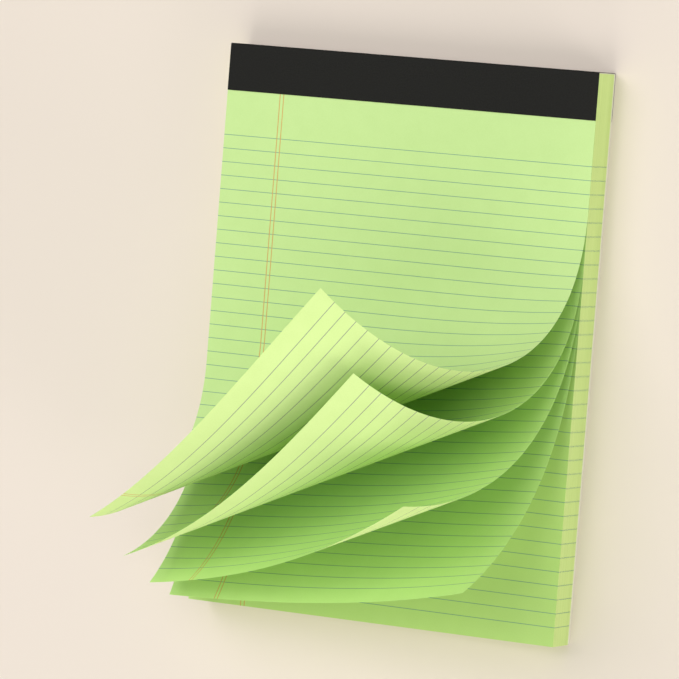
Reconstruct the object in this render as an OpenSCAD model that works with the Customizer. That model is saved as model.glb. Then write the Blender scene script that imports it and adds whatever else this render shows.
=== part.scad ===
// Legal pad lying on its backing board, with its four top sheets rolled back from the lower right corner.
// Millimetres. The origin is the centre of the board's underside, +Y runs up the page to the bound head,
// and +Z points out of the written face.

/* [Pad] */
// Width of the page
page_w = 216; // [140:1:235]
// Length of the page, from foot to head
page_h = 298.5; // [270:0.5:335]
// Thickness of the backing board
board_t = 1.5; // [0.8:0.1:4]
// Thickness of the pages that lie flat
block_t = 18.5; // [4:0.5:45]
// Thickness of one sheet of paper
paper_t = 0.1; // [0.08:0.01:0.2]

/* [Binding] */
// Depth of the binding strip down the front
strip_front = 24.5; // [12:0.5:50]
// Depth of the binding strip down the back
strip_back = 24.5; // [12:0.5:50]
// Thickness of the binding strip
strip_t = 0.3; // [0.2:0.05:0.6]
// Thickness of the glue on the head of the pages
glue_t = 0.4; // [0.2:0.1:1.5]

/* [Rolled sheets] */
// Angle between the rolls and the printed rules, in degrees
roll_angle = 24.4; // [16:0.2:32]
// Distance down the right edge at which the first sheet lifts
lift_1 = 71.5; // [60:0.5:92]
// Distance down the right edge at which the second sheet lifts
lift_2 = 97; // [76:0.5:102]
// Distance down the right edge at which the third sheet lifts
lift_3 = 105; // [100:0.5:116]
// Distance down the right edge at which the fourth sheet lifts
lift_4 = 119; // [108:0.5:150]
// Radius that the first sheet is rolled to
radius_1 = 68.5; // [52:0.5:72]
// Radius that the second sheet is rolled to
radius_2 = 68.5; // [66:0.5:90]
// Radius that the third sheet is rolled to
radius_3 = 97; // [80:0.5:125]
// Radius that the fourth sheet is rolled to
radius_4 = 140.5; // [112:0.5:300]

/* [Hidden] */

lifted_sheets = 4;
// Turn of the roll that one flat facet takes, in degrees
facet_turn = 3;
fold_r = 2 * strip_t;

block_top = board_t + block_t;
page_top = block_top + lifted_sheets * paper_t;
head_y = page_h / 2;
foot_y = -page_h / 2;
strip_head_y = head_y + glue_t + strip_t;
strip_top = page_top + strip_t;

paper_colour = [0.80, 0.93, 0.58];
board_colour = [0.87, 0.82, 0.68];
strip_colour = [0.16, 0.15, 0.15];
glue_colour = [0.90, 0.88, 0.80];

// Flat point on the right edge where a sheet begins to lift
function lift_point(lift) = [page_w / 2, head_y - lift];

// Distance of a flat point past the lift line, square to the roll
function past_lift(p, lift) =
    let (q = p - lift_point(lift)) q.x * sin(roll_angle) - q.y * cos(roll_angle);

// Ends of the straight line that lies a distance s past the lift line: right edge, then left edge or foot
function right_end(s, lift) = [page_w / 2, head_y - lift - s / cos(roll_angle)];
function left_end(s, lift) =
    let (y = head_y - lift - (page_w * sin(roll_angle) + s) / cos(roll_angle))
    y >= foot_y
        ? [-page_w / 2, y]
        : [page_w / 2 + (s - (page_h - lift) * cos(roll_angle)) / sin(roll_angle), foot_y];

// Place in space of a flat point, at height t within the sheet, once the sheet is wound on its radius
function rolled(p, lift, radius, base, t) =
    let (s = max(0, past_lift(p, lift)))
    let (turn = s / radius * 180 / PI)
    let (shift = (radius - t) * sin(turn) - s)
    [p.x + shift * sin(roll_angle), p.y - shift * cos(roll_angle), base + radius - (radius - t) * cos(turn)];

// Distances past the lift line at which the roll is creased into facets, with one at the left foot corner
function facet_steps(from, to, radius) =
    let (count = max(1, ceil((to - from) / radius * 180 / PI / facet_turn)))
    [for (i = [1:count]) from + (to - from) * i / count];

// Flat left and right ends of each facet, from the head down to the last one before the right foot corner
function facet_ends(lift, radius) =
    let (left_foot = past_lift([-page_w / 2, foot_y], lift))
    let (right_foot = past_lift([page_w / 2, foot_y], lift))
    let (steps = concat([0], facet_steps(0, left_foot, radius), facet_steps(left_foot, right_foot, radius)))
    concat(
        [[-page_w / 2, head_y], [page_w / 2, head_y]],
        [for (i = [0:len(steps) - 2]) each [left_end(steps[i], lift), right_end(steps[i], lift)]],
        [[page_w / 2, foot_y]]
    );

// One sheet of paper that lies flat to its lift line and is wound on a radius from there to its foot
module rolled_sheet(level, lift, radius) {
    base = block_top + level * paper_t;
    ends = facet_ends(lift, radius);
    corner = len(ends) - 1;
    rows = corner / 2;
    under = [for (p = ends) rolled(p, lift, radius, base, 0)];
    over = [for (p = ends) rolled(p, lift, radius, base, paper_t)];
    up = len(ends);
    function left(i) = i < rows ? 2 * i : corner;
    function right(i) = i < rows ? 2 * i + 1 : corner;
    fronts = [for (i = [0:rows - 2]) each [
        [left(i) + up, right(i) + up, right(i + 1) + up],
        [left(i) + up, right(i + 1) + up, left(i + 1) + up]]];
    backs = [for (i = [0:rows - 2]) each [
        [left(i), right(i + 1), right(i)],
        [left(i), left(i + 1), right(i + 1)]]];
    left_edges = [for (i = [0:rows - 1]) each [
        [left(i), left(i) + up, left(i + 1) + up],
        [left(i), left(i + 1) + up, left(i + 1)]]];
    right_edges = [for (i = [0:rows - 1]) each [
        [right(i), right(i + 1) + up, right(i) + up],
        [right(i), right(i + 1), right(i + 1) + up]]];
    tip = [
        [left(rows - 1) + up, right(rows - 1) + up, corner + up],
        [left(rows - 1), corner, right(rows - 1)]];
    head = [[0, 1, 1 + up], [0, 1 + up, up]];
    polyhedron(
        points = concat(under, over),
        faces = concat(fronts, backs, left_edges, right_edges, tip, head),
        convexity = 6
    );
}

// Block that spans the page's width, from one distance up the page to another and between two heights
module page_slab(y_from, y_to, z_from, z_to) {
    translate([-page_w / 2, y_from, z_from])
        cube([page_w, y_to - y_from, z_to - z_from]);
}

// Chipboard back, pressed thinner at the head so that the strip lies flush with its underside
module backing_board() {
    color(board_colour)
        difference() {
            page_slab(foot_y, head_y, 0, board_t);
            page_slab(head_y - strip_back, head_y + 1, -1, strip_t);
        }
}

// The pages that still lie flat
module sheet_block() {
    color(paper_colour)
        page_slab(foot_y, head_y, board_t, block_top);
}

module lifted_sheet_1() {
    color(paper_colour)
        rolled_sheet(3, lift_1, radius_1);
}

module lifted_sheet_2() {
    color(paper_colour)
        rolled_sheet(2, lift_2, radius_2);
}

module lifted_sheet_3() {
    color(paper_colour)
        rolled_sheet(1, lift_3, radius_3);
}

module lifted_sheet_4() {
    color(paper_colour)
        rolled_sheet(0, lift_4, radius_4);
}

// Film of glue that holds the sheets and the board together along the head
module head_glue() {
    color(glue_colour)
        page_slab(head_y, head_y + glue_t, strip_t, page_top);
}

// Section of the binding strip: front flap, fold, head, fold and back flap, in the plane of Y and Z
module strip_section() {
    difference() {
        union() {
            translate([head_y - strip_front, strip_top - strip_t])
                square([strip_front + glue_t + strip_t - fold_r, strip_t]);
            translate([head_y - strip_back, 0])
                square([strip_back + glue_t + strip_t - fold_r, strip_t]);
            translate([head_y, fold_r])
                square([glue_t + strip_t, strip_top - 2 * fold_r]);
            for (z = [fold_r, strip_top - fold_r])
                translate([strip_head_y - fold_r, z])
                    circle(r = fold_r, $fn = 32);
        }
        translate([head_y - page_h, strip_t])
            square([page_h + glue_t, page_top - strip_t]);
    }
}

// Cloth-paper strip folded over the head, from the front of the pad to the back of the board
module binding_strip() {
    color(strip_colour)
        rotate([90, 0, 90])
            linear_extrude(height = page_w, center = true)
                strip_section();
}

backing_board();
sheet_block();
lifted_sheet_4();
lifted_sheet_3();
lifted_sheet_2();
lifted_sheet_1();
head_glue();
binding_strip();
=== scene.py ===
"""Dresses a legal pad with rolled ruled sheets, stacked pages, a binding strip and a chipboard back."""

import math
import random

import bpy
from bpy.props import FloatProperty, FloatVectorProperty, IntProperty, PointerProperty
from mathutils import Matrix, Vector


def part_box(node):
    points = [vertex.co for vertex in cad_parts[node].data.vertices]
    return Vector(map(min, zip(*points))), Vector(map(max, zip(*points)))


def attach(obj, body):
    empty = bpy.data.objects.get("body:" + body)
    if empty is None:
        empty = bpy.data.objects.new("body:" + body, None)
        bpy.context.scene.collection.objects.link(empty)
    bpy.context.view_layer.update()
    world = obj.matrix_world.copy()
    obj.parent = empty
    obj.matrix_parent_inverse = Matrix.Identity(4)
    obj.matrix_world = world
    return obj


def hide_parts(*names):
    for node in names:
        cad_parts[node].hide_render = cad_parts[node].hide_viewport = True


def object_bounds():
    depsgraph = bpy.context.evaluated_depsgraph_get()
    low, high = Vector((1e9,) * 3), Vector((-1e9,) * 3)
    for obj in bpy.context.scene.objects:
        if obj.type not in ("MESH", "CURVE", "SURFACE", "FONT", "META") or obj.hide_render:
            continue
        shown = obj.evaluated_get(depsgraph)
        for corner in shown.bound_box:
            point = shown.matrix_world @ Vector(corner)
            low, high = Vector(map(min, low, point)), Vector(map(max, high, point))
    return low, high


bl_info = {
    "name": "Legal pad",
    "version": (1, 0, 0),
    "blender": (4, 5, 0),
    "location": "View3D > Sidebar > Legal pad",
    "description": "Dresses a legal pad with rolled ruled sheets, a binding strip and a plain stage",
    "category": "Object",
}

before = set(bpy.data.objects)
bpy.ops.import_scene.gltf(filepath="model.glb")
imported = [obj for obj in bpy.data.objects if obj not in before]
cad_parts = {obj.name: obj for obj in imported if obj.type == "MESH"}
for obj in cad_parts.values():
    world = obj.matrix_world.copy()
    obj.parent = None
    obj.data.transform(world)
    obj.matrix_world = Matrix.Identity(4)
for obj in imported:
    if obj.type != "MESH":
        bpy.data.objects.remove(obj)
CAD_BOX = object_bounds()

BODY = "root"
SHEET_NODES = ("lifted_sheet_1", "lifted_sheet_2", "lifted_sheet_3", "lifted_sheet_4")
LAMP_NAMES = ("head_lamp", "key_lamp", "top_lamp", "foot_lamp", "side_lamp")
MM = 0.001

# A face is level when its normal is at least this much upright.
LEVEL = 0.9
# Faces of a rolled sheet that meet at less than this angle are shaded as one.
SMOOTH_ANGLE = math.radians(35)
# How far a leaf of the flat pages may lie in from the edge, and the seed of those draws.
LEAF_STRAY = 0.05 * MM
LEAF_SEED = 11
# How much of a rule's ink shows on the trimmed edge of the pages.
RULE_END_SHARE = 0.85
# What the camera sees past the floor, and how far it sees.
BACKDROP = (0.86, 0.83, 0.79)
FAR_CLIP = 100
# Sockets of a Mix node that mixes colours.
MIX_FACTOR, MIX_A, MIX_B, MIX_RESULT = 0, 6, 7, 2

BLOCK_LOW, BLOCK_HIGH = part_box("sheet_block")
PAGE_W = BLOCK_HIGH.x - BLOCK_LOW.x
PAGE_H = BLOCK_HIGH.y - BLOCK_LOW.y
PAPER_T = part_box("lifted_sheet_3")[0].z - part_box("lifted_sheet_4")[0].z


class PadRolls(bpy.types.PropertyGroup):
    """How the four top sheets are wound up from the lower right corner."""

    angle: FloatProperty(
        name="Roll angle",
        description="Angle between the rolls and the printed rules",
        default=math.radians(24.4),
        subtype="ANGLE",
    )
    lifts: FloatVectorProperty(
        name="Lift distances",
        description="Distance down the right edge at which each sheet lifts, top sheet first",
        size=4,
        default=(71.5 * MM, 97 * MM, 105 * MM, 119 * MM),
        unit="LENGTH",
    )
    radii: FloatVectorProperty(
        name="Roll radii",
        description="Radius that each sheet is wound to, top sheet first",
        size=4,
        default=(68.5 * MM, 68.5 * MM, 97 * MM, 140.5 * MM),
        unit="LENGTH",
    )
    facet: FloatProperty(
        name="Mesh spacing",
        description="Size of one mesh square of a rolled sheet",
        default=2.5 * MM,
        unit="LENGTH",
    )


class PadPrint(bpy.types.PropertyGroup):
    """The printed rules and margin lines of a page."""

    first_rule: FloatProperty(
        name="First rule",
        description="Distance from the head to the first rule",
        default=48.3 * MM,
        unit="LENGTH",
    )
    rule_pitch: FloatProperty(
        name="Rule pitch",
        description="Distance from one rule to the next",
        default=7.275 * MM,
        unit="LENGTH",
    )
    rule_count: IntProperty(name="Rules", description="Number of rules on a page", default=34)
    rule_width: FloatProperty(
        name="Rule width",
        description="Printed width of a rule",
        default=0.30 * MM,
        unit="LENGTH",
    )
    margins: FloatVectorProperty(
        name="Margin lines",
        description="Distance of the two margin lines from the left edge",
        size=2,
        default=(31.75 * MM, 33.9 * MM),
        unit="LENGTH",
    )
    margin_width: FloatProperty(
        name="Margin line width",
        description="Printed width of a margin line",
        default=0.45 * MM,
        unit="LENGTH",
    )
    bleed: FloatProperty(
        name="Ink bleed",
        description="Width over which the edge of a printed line fades",
        default=0.08 * MM,
        unit="LENGTH",
    )


def colour_property(name, description, default):
    """A colour swatch in linear light."""
    return FloatVectorProperty(
        name=name, description=description, size=3, default=default, subtype="COLOR", min=0, max=1
    )


class PadColours(bpy.types.PropertyGroup):
    """Colours of paper, ink, strip and board, with painted shade in the lower paper tints and painted
    light in the reverse.
    """

    paper: colour_property("Paper", "Tint of the paper's face", (0.615, 0.835, 0.34))
    paper_cloud: colour_property(
        "Paper clouds", "Tint of the face where the pulp lies thicker", (0.59, 0.81, 0.32)
    )
    # Painted shade: the sheets under the first are tinted deeper green, as if in the shade of the rolls.
    paper_below_painted_shade: colour_property(
        "Paper below", "Tint of the sheets under the first", (0.553, 0.835, 0.27)
    )
    below_cloud_painted_shade: colour_property(
        "Clouds below", "Tint of those sheets where the pulp lies thicker", (0.53, 0.81, 0.253)
    )
    # Painted shade: the flat pages are tinted deeper still, as if shaded by the rolls above them.
    flat_page_painted_shade: colour_property("Flat page", "Tint of the pages that lie flat", (0.54, 0.775, 0.24))
    flat_cloud_painted_shade: colour_property(
        "Flat clouds", "Tint of the flat page where the pulp lies thicker", (0.517, 0.75, 0.225)
    )
    # Painted light: the reverse is tinted paler and yellower, as if lit on the backs of the rolls.
    reverse: colour_property("Reverse", "Paler tint of the paper's reverse", (0.70, 0.885, 0.345))
    reverse_cloud_painted_light: colour_property(
        "Reverse clouds", "Tint of the reverse where the pulp lies thicker", (0.664, 0.848, 0.318)
    )
    cut_edge: colour_property(
        "Cut edge", "Tint of the trimmed edges of the pages", (0.755, 0.93, 0.37)
    )
    cut_shade: colour_property(
        "Cut edge shade", "Tint between one page edge and the next", (0.673, 0.858, 0.306)
    )
    rule_ink: colour_property("Rule ink", "Colour of the printed rules", (0.13, 0.33, 0.27))
    reverse_ink: colour_property(
        "Reverse ink", "Colour of the rules on the reverse", (0.16, 0.20, 0.20)
    )
    margin_ink: colour_property(
        "Margin ink", "Colour of the printed margin lines", (0.68, 0.37, 0.095)
    )
    strip: colour_property("Binding strip", "Colour of the binding strip", (0.012, 0.0115, 0.0105))
    strip_grain: colour_property(
        "Strip grain", "Colour of the high grain of the strip", (0.017, 0.0165, 0.0155)
    )
    board: colour_property("Board", "Colour of the chipboard", (0.96, 0.94, 0.78))
    board_fleck: colour_property(
        "Board flecks", "Colour of the fibres in the chipboard", (0.80, 0.74, 0.58)
    )
    glue: colour_property("Glue", "Colour of the dried glue", (0.78, 0.76, 0.66))
    glue_shade: colour_property(
        "Glue shade", "Colour of the thin places in the glue", (0.66, 0.66, 0.50)
    )
    floor: colour_property("Floor", "Colour of the floor", (0.84, 0.74, 0.67))
    floor_cloud: colour_property(
        "Floor clouds", "Colour of the faint clouds in the floor", (0.825, 0.725, 0.655)
    )


class PadStage(bpy.types.PropertyGroup):
    """Camera, lamps and floor."""

    camera_place: FloatVectorProperty(
        name="Camera place",
        description="Place of the camera",
        default=(1.24886, 0.15494, 2.56423),
        subtype="TRANSLATION",
        unit="LENGTH",
    )
    camera_turn: FloatVectorProperty(
        name="Camera turn",
        description="Turn of the camera about X, Y and Z",
        default=(math.radians(-0.861), math.radians(26.842), math.radians(5.086)),
        subtype="EULER",
    )
    lens: FloatProperty(name="Lens", description="Focal length in millimetres", default=285.7)
    head_place: FloatVectorProperty(
        name="Head lamp",
        description="Place of the soft lamp high over the head",
        default=(0.0, 0.776, 2.898),
        subtype="TRANSLATION",
        unit="LENGTH",
    )
    key_place: FloatVectorProperty(
        name="Key lamp",
        description="Place of the soft key lamp, high to the left of the head",
        default=(-1.216, 1.216, 2.458),
        subtype="TRANSLATION",
        unit="LENGTH",
    )
    top_place: FloatVectorProperty(
        name="Top lamp",
        description="Place of the soft lamp high beyond the foot",
        default=(0.0, -1.72, 2.458),
        subtype="TRANSLATION",
        unit="LENGTH",
    )
    foot_place: FloatVectorProperty(
        name="Foot lamp",
        description="Place of the low soft lamp beyond the foot, which lights the rolls",
        default=(0.0, -5.0, 1.27),
        subtype="TRANSLATION",
        unit="LENGTH",
    )
    side_place: FloatVectorProperty(
        name="Side lamp",
        description="Place of the low soft lamp to the right, which lights the page edges",
        default=(4.33, -2.5, 1.27),
        subtype="TRANSLATION",
        unit="LENGTH",
    )
    lamp_powers: FloatVectorProperty(
        name="Lamp powers",
        description="Power of the head, key, top, foot and side lamps in watts",
        size=5,
        default=(32.4, 26.4, 17.6, 56.6, 71.5),
    )
    lamp_sizes: FloatVectorProperty(
        name="Lamp sizes",
        description="Width of the head, key, top, foot and side lamps",
        size=5,
        default=(2.0, 2.0, 2.0, 2.47, 2.47),
        unit="LENGTH",
    )
    lamp_tint: colour_property("Lamp tint", "Colour of the lamps", (1.0, 0.945, 0.955))
    sky: FloatProperty(
        name="Sky strength",
        description="Strength of the even light from all round",
        default=0.32,
    )
    sky_tint: colour_property("Sky tint", "Colour of the even light", (0.83, 1.0, 0.86))
    floor_width: FloatProperty(
        name="Floor width",
        description="Width of the floor",
        default=14.0,
        unit="LENGTH",
    )


class ShaderTree:
    """A material's node tree, with short calls to add and link nodes."""

    def __init__(self, name):
        self.material = bpy.data.materials.new(name)
        self.material.use_nodes = True
        self.tree = self.material.node_tree
        self.shader = self.tree.nodes["Principled BSDF"]

    def add(self, kind, inputs=None, **settings):
        """Adds a node, sets it, and links or fills its inputs."""
        node = self.tree.nodes.new(kind)
        for key, value in settings.items():
            setattr(node, key, value)
        for key, value in (inputs or {}).items():
            self.feed(node.inputs[key], value)
        return node

    def feed(self, socket, value):
        """Links an output socket, or sets a constant."""
        if isinstance(value, bpy.types.NodeSocket):
            self.tree.links.new(value, socket)
        else:
            socket.default_value = value

    def math(self, operation, a, b=0.0):
        """Result of one sum on numbers or sockets."""
        return self.add("ShaderNodeMath", {0: a, 1: b}, operation=operation).outputs[0]

    def ramp(self, value, low, high, to_low=0.0, to_high=1.0):
        """value taken from the range low to high, to another range, with no overshoot."""
        names = ("Value", "From Min", "From Max", "To Min", "To Max")
        node = self.add("ShaderNodeMapRange", dict(zip(names, (value, low, high, to_low, to_high))))
        return node.outputs["Result"]

    def mix(self, factor, a, b):
        """Colour between a and b."""
        node = self.add("ShaderNodeMix", {MIX_FACTOR: factor}, data_type="RGBA")
        for socket, colour in ((MIX_A, a), (MIX_B, b)):
            linked = isinstance(colour, bpy.types.NodeSocket)
            self.feed(node.inputs[socket], colour if linked else (*colour, 1))
        return node.outputs[MIX_RESULT]

    def noise(self, place, scale, detail=3.0, rough=0.5):
        """Soft noise from 0 to 1."""
        inputs = {"Vector": place, "Scale": scale, "Detail": detail, "Roughness": rough}
        return self.add("ShaderNodeTexNoise", inputs).outputs["Fac"]

    def place(self):
        """Object coordinates, in metres."""
        return self.add("ShaderNodeTexCoord").outputs["Object"]

    def split(self, vector):
        """X, Y and Z of a vector."""
        return self.add("ShaderNodeSeparateXYZ", {0: vector}).outputs

    def stretched(self, vector, scale):
        """A vector scaled along each axis."""
        return self.add("ShaderNodeMapping", {"Vector": vector, "Scale": scale}).outputs["Vector"]

    def finish(self, colour, roughness, specular, height=None, depth=0.0, strength=0.0):
        """Feeds the shader, with a relief if a height is given, and returns the material."""
        self.feed(self.shader.inputs["Base Color"], colour)
        self.feed(self.shader.inputs["Roughness"], roughness)
        self.shader.inputs["Specular IOR Level"].default_value = specular
        if height is not None:
            relief = {"Strength": strength, "Distance": depth, "Height": height}
            bump = self.add("ShaderNodeBump", relief)
            self.feed(self.shader.inputs["Normal"], bump.outputs["Normal"])
        return self.material


def line_cover(tree, distance, width, bleed):
    """1 on a printed line and 0 off it, from the distance to the line's middle."""
    return tree.ramp(distance, width / 2 + bleed / 2, width / 2 - bleed / 2)


def rule_cover(tree, down, prints):
    """1 on a printed rule, from the distance down the page."""
    half_step = 0.5
    step = tree.math("DIVIDE", tree.math("SUBTRACT", down, prints.first_rule), prints.rule_pitch)
    off = tree.math("MULTIPLY", tree.math("PINGPONG", step, half_step), prints.rule_pitch)
    below_head = tree.math("GREATER_THAN", step, -half_step)
    above_foot = tree.math("LESS_THAN", step, prints.rule_count - half_step)
    on_page = tree.math("MULTIPLY", below_head, above_foot)
    return tree.math("MULTIPLY", on_page, line_cover(tree, off, prints.rule_width, prints.bleed))


def margin_cover(tree, across, prints):
    """1 on either margin line, from the distance across the page."""
    offs = [tree.math("ABSOLUTE", tree.math("SUBTRACT", across, m)) for m in prints.margins]
    nearest = tree.math("MINIMUM", *offs)
    return line_cover(tree, nearest, prints.margin_width, prints.bleed)


def ruled_paper(name, scene, on_sheet, paper, cloud, ink):
    """Tinted paper with printed rules and margin lines, on a sheet's own map or on the flat page."""
    prints, colours = scene.pad_print, scene.pad_colours
    tree = ShaderTree(name)
    place = tree.place()
    if on_sheet:
        spot = tree.split(tree.add("ShaderNodeUVMap", uv_map="UVMap").outputs["UV"])
        across = tree.math("MULTIPLY", spot[0], PAGE_W)
        down = tree.math("MULTIPLY", tree.math("SUBTRACT", 1.0, spot[1]), PAGE_H)
    else:
        spot = tree.split(place)
        across = tree.math("SUBTRACT", spot[0], BLOCK_LOW.x)
        down = tree.math("SUBTRACT", BLOCK_HIGH.y, spot[1])
    fibres = tree.noise(place, scale=1600, detail=2, rough=0.6)
    pulp = tree.math("ADD", tree.noise(place, scale=90, detail=4), fibres)
    tint = tree.mix(tree.ramp(pulp, low=0.7, high=1.3), paper, cloud)
    ruled = tree.mix(rule_cover(tree, down, prints), tint, ink)
    printed = tree.mix(margin_cover(tree, across, prints), ruled, colours.margin_ink)
    roughness = tree.ramp(fibres, low=0.2, high=0.8, to_low=0.78, to_high=0.92)
    return tree.finish(printed, roughness, specular=0.6, height=fibres, depth=0.06 * MM, strength=0.4)


def page_edges(scene):
    """Trimmed edges of the stacked pages, with the ends of the rules showing as faint lines."""
    prints, colours = scene.pad_print, scene.pad_colours
    tree = ShaderTree("page edges")
    place = tree.place()
    leaves = tree.noise(tree.stretched(place, scale=(6, 6, 4000)), scale=1.0, detail=2)
    tint = tree.mix(tree.ramp(leaves, low=0.35, high=0.7), colours.cut_edge, colours.cut_shade)
    down = tree.math("SUBTRACT", BLOCK_HIGH.y, tree.split(place)[1])
    ends = tree.math("MULTIPLY", rule_cover(tree, down, prints), RULE_END_SHARE)
    inked = tree.mix(ends, tint, colours.rule_ink)
    return tree.finish(inked, roughness=0.9, specular=0.2, height=leaves, depth=0.03 * MM, strength=0.3)


def strip_cloth(scene):
    """Matt dark cloth-paper with a fine pressed grain."""
    colours = scene.pad_colours
    tree = ShaderTree("binding cloth")
    grain = tree.noise(tree.place(), scale=1500, detail=3, rough=0.6)
    cloth = tree.mix(tree.ramp(grain, low=0.4, high=0.75), colours.strip, colours.strip_grain)
    roughness = tree.ramp(grain, low=0.3, high=0.7, to_low=0.72, to_high=0.58)
    return tree.finish(cloth, roughness, specular=0.12, height=grain, depth=0.05 * MM, strength=0.3)


def chipboard(scene):
    """Pale chipboard with short darker fibres, layered where it is cut."""
    colours = scene.pad_colours
    tree = ShaderTree("chipboard")
    grain = tree.stretched(tree.place(), scale=(900, 250, 2500))
    fibres = tree.noise(grain, scale=1.0, detail=4, rough=0.65)
    flecks = tree.ramp(fibres, low=0.56, high=0.72)
    board = tree.mix(flecks, colours.board, colours.board_fleck)
    return tree.finish(board, roughness=0.9, specular=0.2, height=fibres, depth=0.06 * MM, strength=0.4)


def dried_glue(scene):
    """Pale flexible glue, brushed along the head."""
    colours = scene.pad_colours
    tree = ShaderTree("dried glue")
    brushed = tree.stretched(tree.place(), scale=(60, 600, 600))
    strokes = tree.noise(brushed, scale=1.0, detail=3)
    glue = tree.mix(tree.ramp(strokes, low=0.35, high=0.7), colours.glue, colours.glue_shade)
    return tree.finish(glue, roughness=0.5, specular=0.4, height=strokes, depth=0.08 * MM, strength=0.4)


def pale_floor(scene):
    """Plain pale floor with hardly any clouding."""
    colours = scene.pad_colours
    tree = ShaderTree("pale floor")
    clouds = tree.noise(tree.place(), scale=3, detail=2)
    floor = tree.mix(clouds, colours.floor, colours.floor_cloud)
    return tree.finish(floor, roughness=0.9, specular=0.1)


def deselect_all():
    """Leaves nothing selected, so the next operator acts on its own object only."""
    bpy.ops.object.select_all(action="DESELECT")


def apply_modifier(kind, **settings):
    """Adds a modifier to the active object, sets it and applies it."""
    bpy.ops.object.modifier_add(type=kind)
    modifier = bpy.context.object.modifiers[-1]
    for key, value in settings.items():
        setattr(modifier, key, value)
    bpy.context.view_layer.update()
    bpy.ops.object.modifier_apply(modifier=modifier.name)


def flat_sheet(name, base, spacing):
    """A flat sheet of the page's size at a height, with the second material on its underside."""
    deselect_all()
    columns, rows = round(PAGE_W / spacing), round(PAGE_H / spacing)
    centre_y = (BLOCK_LOW.y + BLOCK_HIGH.y) / 2
    bpy.ops.mesh.primitive_grid_add(
        x_subdivisions=columns,
        y_subdivisions=rows,
        size=1,
        calc_uvs=True,
        location=(0, centre_y, base),
    )
    sheet = bpy.context.object
    sheet.name = name
    sheet.scale = (PAGE_W, PAGE_H, 1)
    bpy.ops.object.transform_apply(location=True, rotation=True, scale=True)
    apply_modifier("SOLIDIFY", thickness=PAPER_T, offset=1.0)
    for face in sheet.data.polygons:
        face.material_index = 1 if face.normal.z < -LEVEL else 0
    return sheet


def wind_up(sheet, base, lift, radius, angle):
    """Winds a flat sheet upwards from its lift line, which rises to the right at an angle."""
    lift_point = (BLOCK_HIGH.x, BLOCK_HIGH.y - lift, base)
    # The axle's Z lies along the lift line, and its X points down the page across the roll.
    turn = (math.pi / 2, 0, angle - math.pi / 2)
    deselect_all()
    bpy.ops.object.empty_add(location=lift_point, rotation=turn)
    axle = bpy.context.object
    deselect_all()
    sheet.select_set(True)
    bpy.context.view_layer.objects.active = sheet
    # Distances along X from the lift line to the far corners, and only the part past the line bends.
    flat_run = PAGE_W * math.sin(angle) + lift * math.cos(angle)
    rolled_run = (PAGE_H - lift) * math.cos(angle)
    apply_modifier(
        "SIMPLE_DEFORM",
        deform_method="BEND",
        deform_axis="Z",
        origin=axle,
        angle=rolled_run / radius,
        limits=(flat_run / (flat_run + rolled_run), 1.0),
    )
    bpy.data.objects.remove(axle)


class PadLiftedSheets(bpy.types.Operator):
    """Winds the four top sheets up from the lower right corner"""

    bl_idname = "legal_pad.lifted_sheets"
    bl_label = "Lifted sheets"

    def execute(self, context):
        scene, rolls, colours = context.scene, context.scene.pad_rolls, context.scene.pad_colours
        first_tints = (colours.paper, colours.paper_cloud, colours.rule_ink)
        # Painted shade: the sheets under the first get a deeper tint than the first.
        below_painted_shade_tints = (colours.paper_below_painted_shade, colours.below_cloud_painted_shade, colours.rule_ink)
        # Painted light: the reverse gets a paler tint than the face.
        reverse_painted_light_tints = (colours.reverse, colours.reverse_cloud_painted_light, colours.reverse_ink)
        first = ruled_paper("first face", scene, True, *first_tints)
        below = ruled_paper("face below", scene, True, *below_painted_shade_tints)
        reverse = ruled_paper("sheet reverse", scene, True, *reverse_painted_light_tints)
        for node, lift, radius in zip(SHEET_NODES, rolls.lifts, rolls.radii):
            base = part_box(node)[0].z
            sheet = flat_sheet(node.replace("lifted", "rolled"), base, rolls.facet)
            sheet.data.materials.append(first if node == SHEET_NODES[0] else below)
            sheet.data.materials.append(reverse)
            wind_up(sheet, base, lift, radius, rolls.angle)
            bpy.ops.object.shade_smooth_by_angle(angle=SMOOTH_ANGLE)
            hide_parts(node)
            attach(sheet, BODY)
        return {"FINISHED"}


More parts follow.
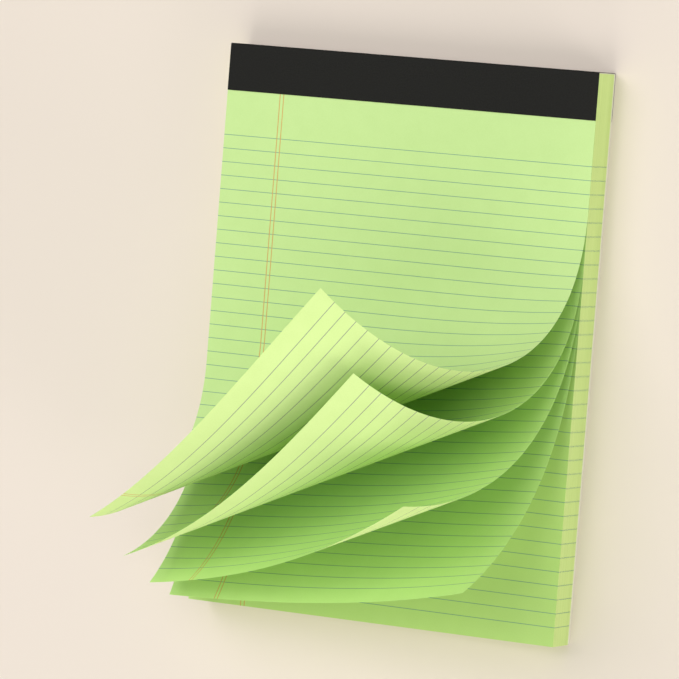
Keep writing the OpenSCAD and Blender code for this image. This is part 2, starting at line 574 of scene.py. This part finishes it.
class PadSheetBlock(bpy.types.Operator):
    """Stacks the pages that lie flat, each leaf a hair in or out of line"""

    bl_idname = "legal_pad.sheet_block"
    bl_label = "Flat pages"

    def execute(self, context):
        height = BLOCK_HIGH.z - BLOCK_LOW.z
        leaves = round(height / PAPER_T)
        middle = (BLOCK_LOW + BLOCK_HIGH) / 2
        draws = random.Random(LEAF_SEED)
        deselect_all()
        bpy.ops.mesh.primitive_plane_add(size=1, location=(middle.x, middle.y, BLOCK_LOW.z))
        block = bpy.context.object
        block.name = "stacked_pages"
        block.scale = (PAGE_W, PAGE_H, 1)
        bpy.ops.object.transform_apply(location=True, rotation=True, scale=True)
        bpy.ops.object.mode_set(mode="EDIT")
        bpy.ops.mesh.select_all(action="SELECT")
        inset_now = 0.0
        for leaf in range(leaves):
            bpy.ops.mesh.extrude_region_move(TRANSFORM_OT_translate={"value": (0, 0, height / leaves)})
            inset = draws.uniform(0, LEAF_STRAY) if leaf < leaves - 1 else 0.0
            grow_x = (PAGE_W - 2 * inset) / (PAGE_W - 2 * inset_now)
            grow_y = (PAGE_H - 2 * inset) / (PAGE_H - 2 * inset_now)
            bpy.ops.transform.resize(value=(grow_x, grow_y, 1), center_override=middle)
            inset_now = inset
        bpy.ops.mesh.select_all(action="SELECT")
        bpy.ops.mesh.normals_make_consistent(inside=False)
        bpy.ops.object.mode_set(mode="OBJECT")
        colours = context.scene.pad_colours
        # The flat pages get the painted shade tint.
        tints = (colours.flat_page_painted_shade, colours.flat_cloud_painted_shade, colours.rule_ink)
        block.data.materials.append(ruled_paper("flat page", context.scene, False, *tints))
        block.data.materials.append(page_edges(context.scene))
        for face in block.data.polygons:
            face.material_index = 0 if abs(face.normal.z) > LEVEL else 1
        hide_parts("sheet_block")
        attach(block, BODY)
        return {"FINISHED"}


def finish_node(node, material):
    """Gives a solid its finish."""
    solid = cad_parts[node]
    solid.data.materials.clear()
    solid.data.materials.append(material)


class PadBindingStrip(bpy.types.Operator):
    """Gives the binding strip its dark cloth-paper finish"""

    bl_idname = "legal_pad.binding_strip"
    bl_label = "Binding strip"

    def execute(self, context):
        finish_node("binding_strip", strip_cloth(context.scene))
        return {"FINISHED"}


class PadBackingBoard(bpy.types.Operator):
    """Gives the backing board its chipboard finish"""

    bl_idname = "legal_pad.backing_board"
    bl_label = "Backing board"

    def execute(self, context):
        finish_node("backing_board", chipboard(context.scene))
        return {"FINISHED"}


class PadHeadGlue(bpy.types.Operator):
    """Gives the glue along the head its finish"""

    bl_idname = "legal_pad.head_glue"
    bl_label = "Head glue"

    def execute(self, context):
        finish_node("head_glue", dried_glue(context.scene))
        return {"FINISHED"}


def even_sky(scene, strength, tint):
    """Even light from all round, seen by the camera as a pale backdrop."""
    world = bpy.data.worlds.new("even sky")
    scene.world = world
    world.use_nodes = True
    nodes, links = world.node_tree.nodes, world.node_tree.links
    light = nodes["Background"]
    light.inputs["Color"].default_value = (*tint, 1)
    light.inputs["Strength"].default_value = strength
    seen = nodes.new("ShaderNodeBackground")
    seen.inputs["Color"].default_value = (*BACKDROP, 1)
    seen.inputs["Strength"].default_value = 1.0
    rays = nodes.new("ShaderNodeLightPath")
    mix = nodes.new("ShaderNodeMixShader")
    links.new(rays.outputs["Is Camera Ray"], mix.inputs[0])
    links.new(light.outputs[0], mix.inputs[1])
    links.new(seen.outputs[0], mix.inputs[2])
    links.new(mix.outputs[0], nodes["World Output"].inputs["Surface"])


class PadStageSet(bpy.types.Operator):
    """Sets the floor, the soft lamps and the camera"""

    bl_idname = "legal_pad.stage"
    bl_label = "Stage"

    def execute(self, context):
        scene, stage = context.scene, context.scene.pad_stage
        scene.view_settings.view_transform = "Standard"
        deselect_all()
        bpy.ops.mesh.primitive_plane_add(size=stage.floor_width, location=(0, 0, CAD_BOX[0].z))
        floor = context.object
        floor.name = "floor"
        floor.data.materials.append(pale_floor(scene))
        even_sky(scene, stage.sky, stage.sky_tint)
        places = (stage.head_place, stage.key_place, stage.top_place, stage.foot_place, stage.side_place)
        for name, place, power, size in zip(LAMP_NAMES, places, stage.lamp_powers, stage.lamp_sizes):
            bpy.ops.object.light_add(type="AREA", location=place)
            lamp = context.object
            lamp.name = name
            lamp.data.shape = "DISK"
            lamp.data.size = size
            lamp.data.energy = power
            lamp.data.color = stage.lamp_tint
            lamp.rotation_euler = (-Vector(place)).to_track_quat("-Z", "Y").to_euler()
            lamp.visible_camera = False
        bpy.ops.object.camera_add(location=stage.camera_place, rotation=stage.camera_turn)
        camera = context.object
        camera.name = "camera"
        camera.data.lens = stage.lens
        camera.data.clip_end = FAR_CLIP
        scene.camera = camera
        return {"FINISHED"}


STEPS = (
    PadLiftedSheets,
    PadSheetBlock,
    PadBindingStrip,
    PadBackingBoard,
    PadHeadGlue,
    PadStageSet,
)


SETTINGS = {
    "pad_rolls": PadRolls,
    "pad_print": PadPrint,
    "pad_colours": PadColours,
    "pad_stage": PadStage,
}


class PadSidebar(bpy.types.Panel):
    """Lists the pad's sizes, colours and making steps"""

    bl_idname = "VIEW3D_PT_legal_pad"
    bl_label = "Legal pad"
    bl_space_type = "VIEW_3D"
    bl_region_type = "UI"
    bl_category = "Legal pad"

    def draw(self, context):
        layout = self.layout
        for step in STEPS:
            layout.operator(step.bl_idname)
        for key, group in SETTINGS.items():
            box = layout.box()
            for value in group.__annotations__:
                box.prop(getattr(context.scene, key), value)


def register():
    """Adds the classes, and the settings to the scene."""
    for cls in (*SETTINGS.values(), *STEPS, PadSidebar):
        bpy.utils.register_class(cls)
    for key, group in SETTINGS.items():
        setattr(bpy.types.Scene, key, PointerProperty(type=group))


def unregister():
    """Takes the settings and the classes away again."""
    for key in SETTINGS:
        delattr(bpy.types.Scene, key)
    for cls in reversed((*SETTINGS.values(), *STEPS, PadSidebar)):
        bpy.utils.unregister_class(cls)


def main():
    """Makes each piece and the stage."""
    register()
    bpy.ops.legal_pad.lifted_sheets()
    bpy.ops.legal_pad.sheet_block()
    bpy.ops.legal_pad.binding_strip()
    bpy.ops.legal_pad.backing_board()
    bpy.ops.legal_pad.head_glue()
    bpy.ops.legal_pad.stage()


if __name__ == "__main__":
    main()
